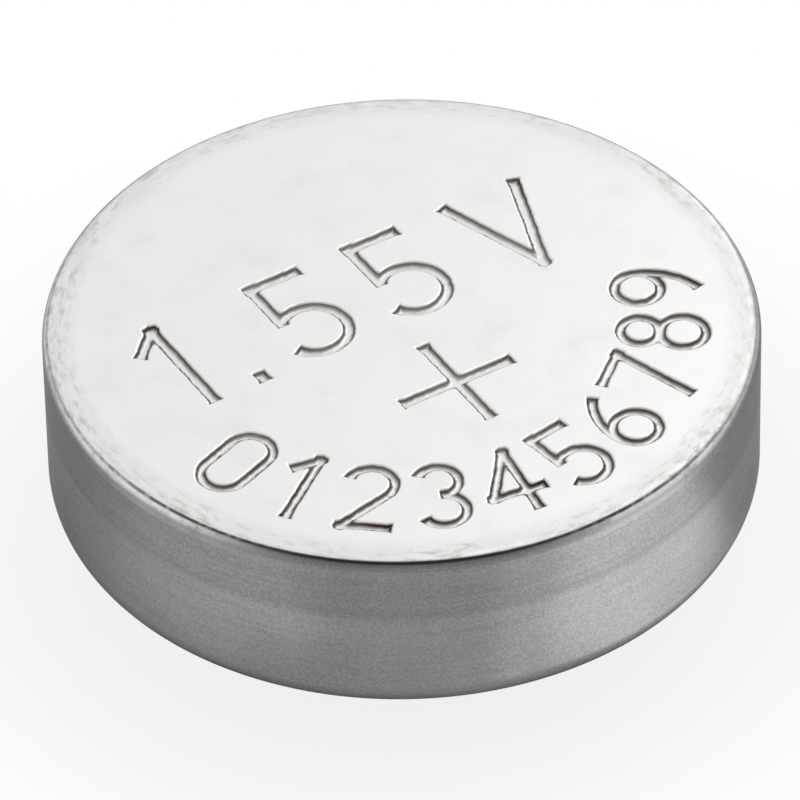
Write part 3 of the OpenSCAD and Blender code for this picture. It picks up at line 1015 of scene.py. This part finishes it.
def gasket_nylon(colours):
    """Natural nylon, injection moulded: milky, slightly translucent and softly shiny."""
    material, add, spot, shader = new_material("nylon_moulded_natural")
    # Clouds 0.3 mm across
    cloud = add("TexNoise", {"Vector": spot, "Scale": one_per(0.3), "Detail": 4})
    values = {
        "Roughness": 0.42, "IOR": 1.53, "Subsurface Weight": 0.3,
        "Subsurface Radius": (1, 0.9, 0.7), "Subsurface Scale": 0.1 * MM,
    }
    two_tone(shader, cloud, colours.nylon, 0.88, (0.3, 0.003, cloud), values)
    return material


def ring_steel(colours):
    """Stainless steel strip, cold rolled: bright with fine streaks along the strip."""
    material, add, spot, shader = new_material("stainless_steel_rolled_strip")
    # Streaks 0.9 mm long and 0.02 mm wide
    stretch = [one_per(size) for size in (0.9, 0.9, 0.02)]
    stretch = add("Mapping", {"Vector": spot, "Scale": stretch})
    streaks = add("TexNoise", {"Vector": stretch, "Scale": 1, "Detail": 4})
    rough = add("Math", {0: streaks, 1: 0.2, 2: 0.2}, MULTIPLY_ADD)
    two_tone(shader, streaks, colours.strip, 0.8, None, {"Metallic": 1.0, "Roughness": rough})
    return material


def silver_oxide(colours):
    """Silver oxide powder pressed to a tablet: brown black and matt, with the glint of grains."""
    material, add, spot, shader = new_material("silver_oxide_pressed_powder")
    # Grains 0.03 mm across
    grains = (add("TexVoronoi", {"Vector": spot, "Scale": one_per(0.03)}), "Distance")
    values = {"Roughness": 0.85, "IOR": 1.5}
    two_tone(shader, grains, colours.oxide, 2.2, (0.6, 0.006, grains), values)
    return material


def barrier_film(colours):
    """Cellulose film, cast: thin, smooth and a little cloudy, with a faint amber tone."""
    material, add, spot, shader = new_material("cellulose_cast_film")
    # Clouds 0.6 mm across
    cloud = add("TexNoise", {"Vector": spot, "Scale": one_per(0.6), "Detail": 3})
    values = {"Roughness": 0.3, "IOR": 1.47, "Transmission Weight": 0.3}
    two_tone(shader, cloud, colours.film, 0.8, None, values)
    return material


def pad_fibre(colours):
    """Cotton and rayon fibre, felted: white and matt, with crossed fibres 0.015 mm thick."""
    material, add, spot, shader = new_material("cotton_fibre_felted")
    # The fibres are drawn as 0.03 mm thick so that they show, in tangles 0.12 mm across
    tangle = {"Vector": spot, "Scale": one_per(0.12), "Detail": 2, "Distortion": 3}
    fibres = {"Vector": spot, "Scale": 0.05 * one_per(0.03), "Distortion": 12, "Detail": 3}
    tangle = add("TexNoise", tangle)
    fibres = add("TexWave", fibres, {"bands_direction": "DIAGONAL"})
    both = add("Math", {0: (tangle, "Fac"), 1: (fibres, "Fac")}, MULTIPLY)
    values = {"Roughness": 0.95, "Sheen Weight": 0.2}
    two_tone(shader, both, colours.felt, 0.7, (0.7, 0.01, both), values)
    return material


def zinc_gel(colours):
    """Zinc powder stirred into gel: grey grains 0.1 mm across that glint through a wet film."""
    material, add, spot, shader = new_material("zinc_powder_gelled")
    grains = (add("TexVoronoi", {"Vector": spot, "Scale": one_per(0.1)}), "Distance")
    tone = add("MapRange", {"Value": grains, "From Min": 0.15, "From Max": 0.7}, SMOOTH)
    values = {
        "Metallic": 0.7, "Roughness": 0.5,
        "Coat Weight": 0.8, "Coat Roughness": 0.1, "Coat IOR": 1.38,
    }
    two_tone(shader, tone, colours.zinc, 0.3, (0.8, 0.03, grains), values)
    return material


# ---------------------------------------------------------------- operators


class BUTTONCELL_OT_can(bpy.types.Operator):
    """Builds the can with its stamped face, sides and turned-in rim"""

    bl_idname = "button_cell.can"
    bl_label = "Can"

    def execute(self, context):
        scene = context.scene
        vertices, faces, normals, share = can_mesh(scene.button_cell_sizes)
        can = new_piece("can", vertices, faces, normals)
        # The stamped attribute carries the painted shade in the marks
        stamped = can.data.attributes.new("stamped", "FLOAT", "POINT")
        stamped.data.foreach_set("value", share.astype(np.float32))
        keep(can, "positive_can", can_nickel(scene.button_cell_colours))
        return {"FINISHED"}


class BUTTONCELL_OT_seal(bpy.types.Operator):
    """Builds the cap with its contact, and the gasket between the cap and the can"""

    bl_idname = "button_cell.seal"
    bl_label = "Cap and gasket"

    def execute(self, context):
        colours = context.scene.button_cell_colours
        cap = new_piece("cap", *lathe(cap_section()))
        keep(cap, "negative_cap", cap_nickel(colours))
        gasket = new_piece("gasket", *lathe(gasket_section()))
        keep(gasket, "sealing_gasket", gasket_nylon(colours))
        return {"FINISHED"}


FILLING = {
    "support_ring": ring_steel,
    "cathode_pellet": silver_oxide,
    "barrier_separator": barrier_film,
    "absorbent_pad": pad_fibre,
    "anode_mass": zinc_gel,
}


class BUTTONCELL_OT_filling(bpy.types.Operator):
    """Gives the ring, the pellet, the film, the pad and the zinc inside their finishes"""

    bl_idname = "button_cell.filling"
    bl_label = "Filling"

    def execute(self, context):
        for node, finish in FILLING.items():
            material = finish(context.scene.button_cell_colours)
            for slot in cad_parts[node].material_slots:
                slot.material = material
        return {"FINISHED"}


class BUTTONCELL_OT_stage(bpy.types.Operator):
    """Sets the floor, the light and the camera"""

    bl_idname = "button_cell.stage"
    bl_label = "Stage"

    def execute(self, context):
        scene = context.scene
        settings = scene.button_cell_stage
        build_floor(scene)
        build_light(scene, settings)
        build_camera(scene, settings)
        scene.view_settings.view_transform = "Standard"
        return {"FINISHED"}


# How far the floor reaches, in millimetres, and between which distances from the axis it turns
# to plain white
FLOOR_REACH = 500.0
FADE_FROM, FADE_TO = 5.5, 14.0
# How far the floor lies below the contact, so that the two faces don't share a plane
FLOOR_GAP = 0.002
# What the camera sees of the floor round the cell is part plain white, least by the cell
SHADOW_FROM, SHADOW_WHITE = 2.9, 0.84
# The key lamp's disk, at the back right
KEY_SIZE = 82.0
KEY_AT = (43, 42, 53)
# The low lamps lie on the floor and face up, so that the side shows them: size, distance from
# the axis, turn to the right of -Y and share of the power
LOW_LAMPS = {
    "low_right": ((3.4, 3.5), 5.1, math.radians(54.5), 1.0),
    "low_middle": ((1.1, 3.2), 5.1, math.radians(26), 0.11),
    "low_left": ((4.2, 2.8), 5.2, math.radians(-46), 0.3),
}
LOW_UP = 0.03
# Where the camera aims, from the middle of the cell
AIM_OFFSET = (-0.024, 0.292, 0.0)
# Between which distances the camera sees, in metres, and its sensor's width in millimetres
NEAR_CLIP, FAR_CLIP = 0.005, 10
SENSOR_WIDTH = 36
WHITE = (1, 1, 1, 1)


def build_floor(scene):
    """A pale floor that turns to plain white away from the cell and keeps its shadow."""
    low = CAD_BOX[0][2] - FLOOR_GAP * MM
    corners = [(-1, -1), (1, -1), (1, 1), (-1, 1)]
    reach = FLOOR_REACH * MM
    mesh = bpy.data.meshes.new("floor")
    mesh.from_pydata([(x * reach, y * reach, low) for x, y in corners], [], [(0, 1, 2, 3)])
    floor = bpy.data.objects.new("floor", mesh)
    scene.collection.objects.link(floor)
    material = bpy.data.materials.new("stage_floor_matt_paint")
    add = emptied(material)
    away = (add("VectorMath", {0: (add("TexCoord"), "Object")}, {"operation": "LENGTH"}), "Value")
    far = {"Value": away, "From Min": FADE_FROM * MM, "From Max": FADE_TO * MM}
    far = add("MapRange", far, SMOOTH)
    near = {"From Min": SHADOW_FROM * MM, "From Max": FADE_FROM * MM, "To Min": SHADOW_WHITE}
    near = add("MapRange", {"Value": away, **near}, SMOOTH)
    near = add("Math", {0: (add("LightPath"), "Is Camera Ray"), 1: near}, MULTIPLY)
    fade = add("Math", {0: far, 1: near}, MAXIMUM)
    share = add("Math", {0: fade, 1: background_rays(add)}, MULTIPLY)
    paint = add("BsdfDiffuse", {"Color": rgba(scene.button_cell_colours.floor)})
    white = add("Emission", {"Color": WHITE, "Strength": 1})
    mixed = add("MixShader", {0: share, 1: paint, 2: white})
    add("OutputMaterial", {"Surface": mixed})
    mesh.materials.append(material)


def background_rays(add):
    """1 for rays that see the background straight, in metal or through glass."""
    path = add("LightPath")
    seen = (path, "Is Camera Ray")
    for kind in ("Is Glossy Ray", "Is Transmission Ray"):
        seen = add("Math", {0: seen, 1: (path, kind)}, MAXIMUM)
    return seen


def add_lamp(scene, lamp, place, turn_by):
    """Puts a lamp in its place, out of the camera's sight."""
    light = bpy.data.objects.new(lamp.name, lamp)
    light.location = Vector(place) * MM
    light.rotation_euler = turn_by
    light.visible_camera = False
    scene.collection.objects.link(light)


def build_light(scene, settings):
    """Even light all round, a soft key lamp at the back right, and low lamps by the side."""
    world = bpy.data.worlds.new("stage_light")
    add = emptied(world)
    even = add("Background", {"Color": WHITE, "Strength": settings.sky})
    seen = add("Background", {"Color": WHITE, "Strength": 1.0})
    add("OutputWorld", {"Surface": add("MixShader", {0: background_rays(add), 1: even, 2: seen})})
    scene.world = world
    key = bpy.data.lights.new("key_lamp", "AREA")
    key.shape = "DISK"
    key.size = KEY_SIZE * MM
    key.energy = settings.key_power
    add_lamp(scene, key, KEY_AT, (-Vector(KEY_AT)).to_track_quat("-Z", "Y").to_euler())
    for name, (size, out, turned, share) in LOW_LAMPS.items():
        low = bpy.data.lights.new(name, "AREA")
        low.shape = "RECTANGLE"
        low.size, low.size_y = (v * MM for v in size)
        low.energy = share * settings.low_power
        at = (out * math.sin(turned), -out * math.cos(turned), LOW_UP)
        add_lamp(scene, low, at, (math.pi, 0, turned))


def build_camera(scene, settings):
    """A long lens in front of the cell, a little above it."""
    low, high = Vector(CAD_BOX[0]), Vector(CAD_BOX[1])
    aim = (low + high) / 2 + Vector(AIM_OFFSET) * MM
    height = settings.camera_height
    back = Vector((0, -math.cos(height), math.sin(height)))
    data = bpy.data.cameras.new("camera")
    data.sensor_width = SENSOR_WIDTH
    data.lens = settings.lens
    data.clip_start = NEAR_CLIP
    data.clip_end = FAR_CLIP
    camera = bpy.data.objects.new("camera", data)
    camera.location = aim + back * settings.camera_distance
    roll = Quaternion((0, 0, 1), settings.camera_roll)
    camera.rotation_euler = ((-back).to_track_quat("-Z", "Y") @ roll).to_euler()
    scene.collection.objects.link(camera)
    scene.camera = camera


class BUTTONCELL_PT_panel(bpy.types.Panel):
    """Lists the settings and the steps that build the cell"""

    bl_idname = "BUTTONCELL_PT_panel"
    bl_label = "Button Cell"
    bl_space_type = "VIEW_3D"
    bl_region_type = "UI"
    bl_category = "Button Cell"

    def draw(self, context):
        for name, kind in GROUPS.items():
            box = self.layout.box()
            for setting in kind.__annotations__:
                box.prop(getattr(context.scene, name), setting)
        for operator in STEPS:
            self.layout.operator(operator.bl_idname)


STEPS = (BUTTONCELL_OT_can, BUTTONCELL_OT_seal, BUTTONCELL_OT_filling, BUTTONCELL_OT_stage)
GROUPS = {
    "button_cell_sizes": ButtonCellSizes,
    "button_cell_colours": ButtonCellColours,
    "button_cell_stage": ButtonCellStage,
}


def register():
    for item in (*GROUPS.values(), *STEPS, BUTTONCELL_PT_panel):
        bpy.utils.register_class(item)
    for name, kind in GROUPS.items():
        setattr(bpy.types.Scene, name, PointerProperty(type=kind))


def unregister():
    for name in GROUPS:
        delattr(bpy.types.Scene, name)
    for item in reversed((*GROUPS.values(), *STEPS, BUTTONCELL_PT_panel)):
        bpy.utils.unregister_class(item)


def main():
    register()
    bpy.ops.button_cell.can()
    bpy.ops.button_cell.seal()
    bpy.ops.button_cell.filling()
    bpy.ops.button_cell.stage()


if __name__ == "__main__":
    main()
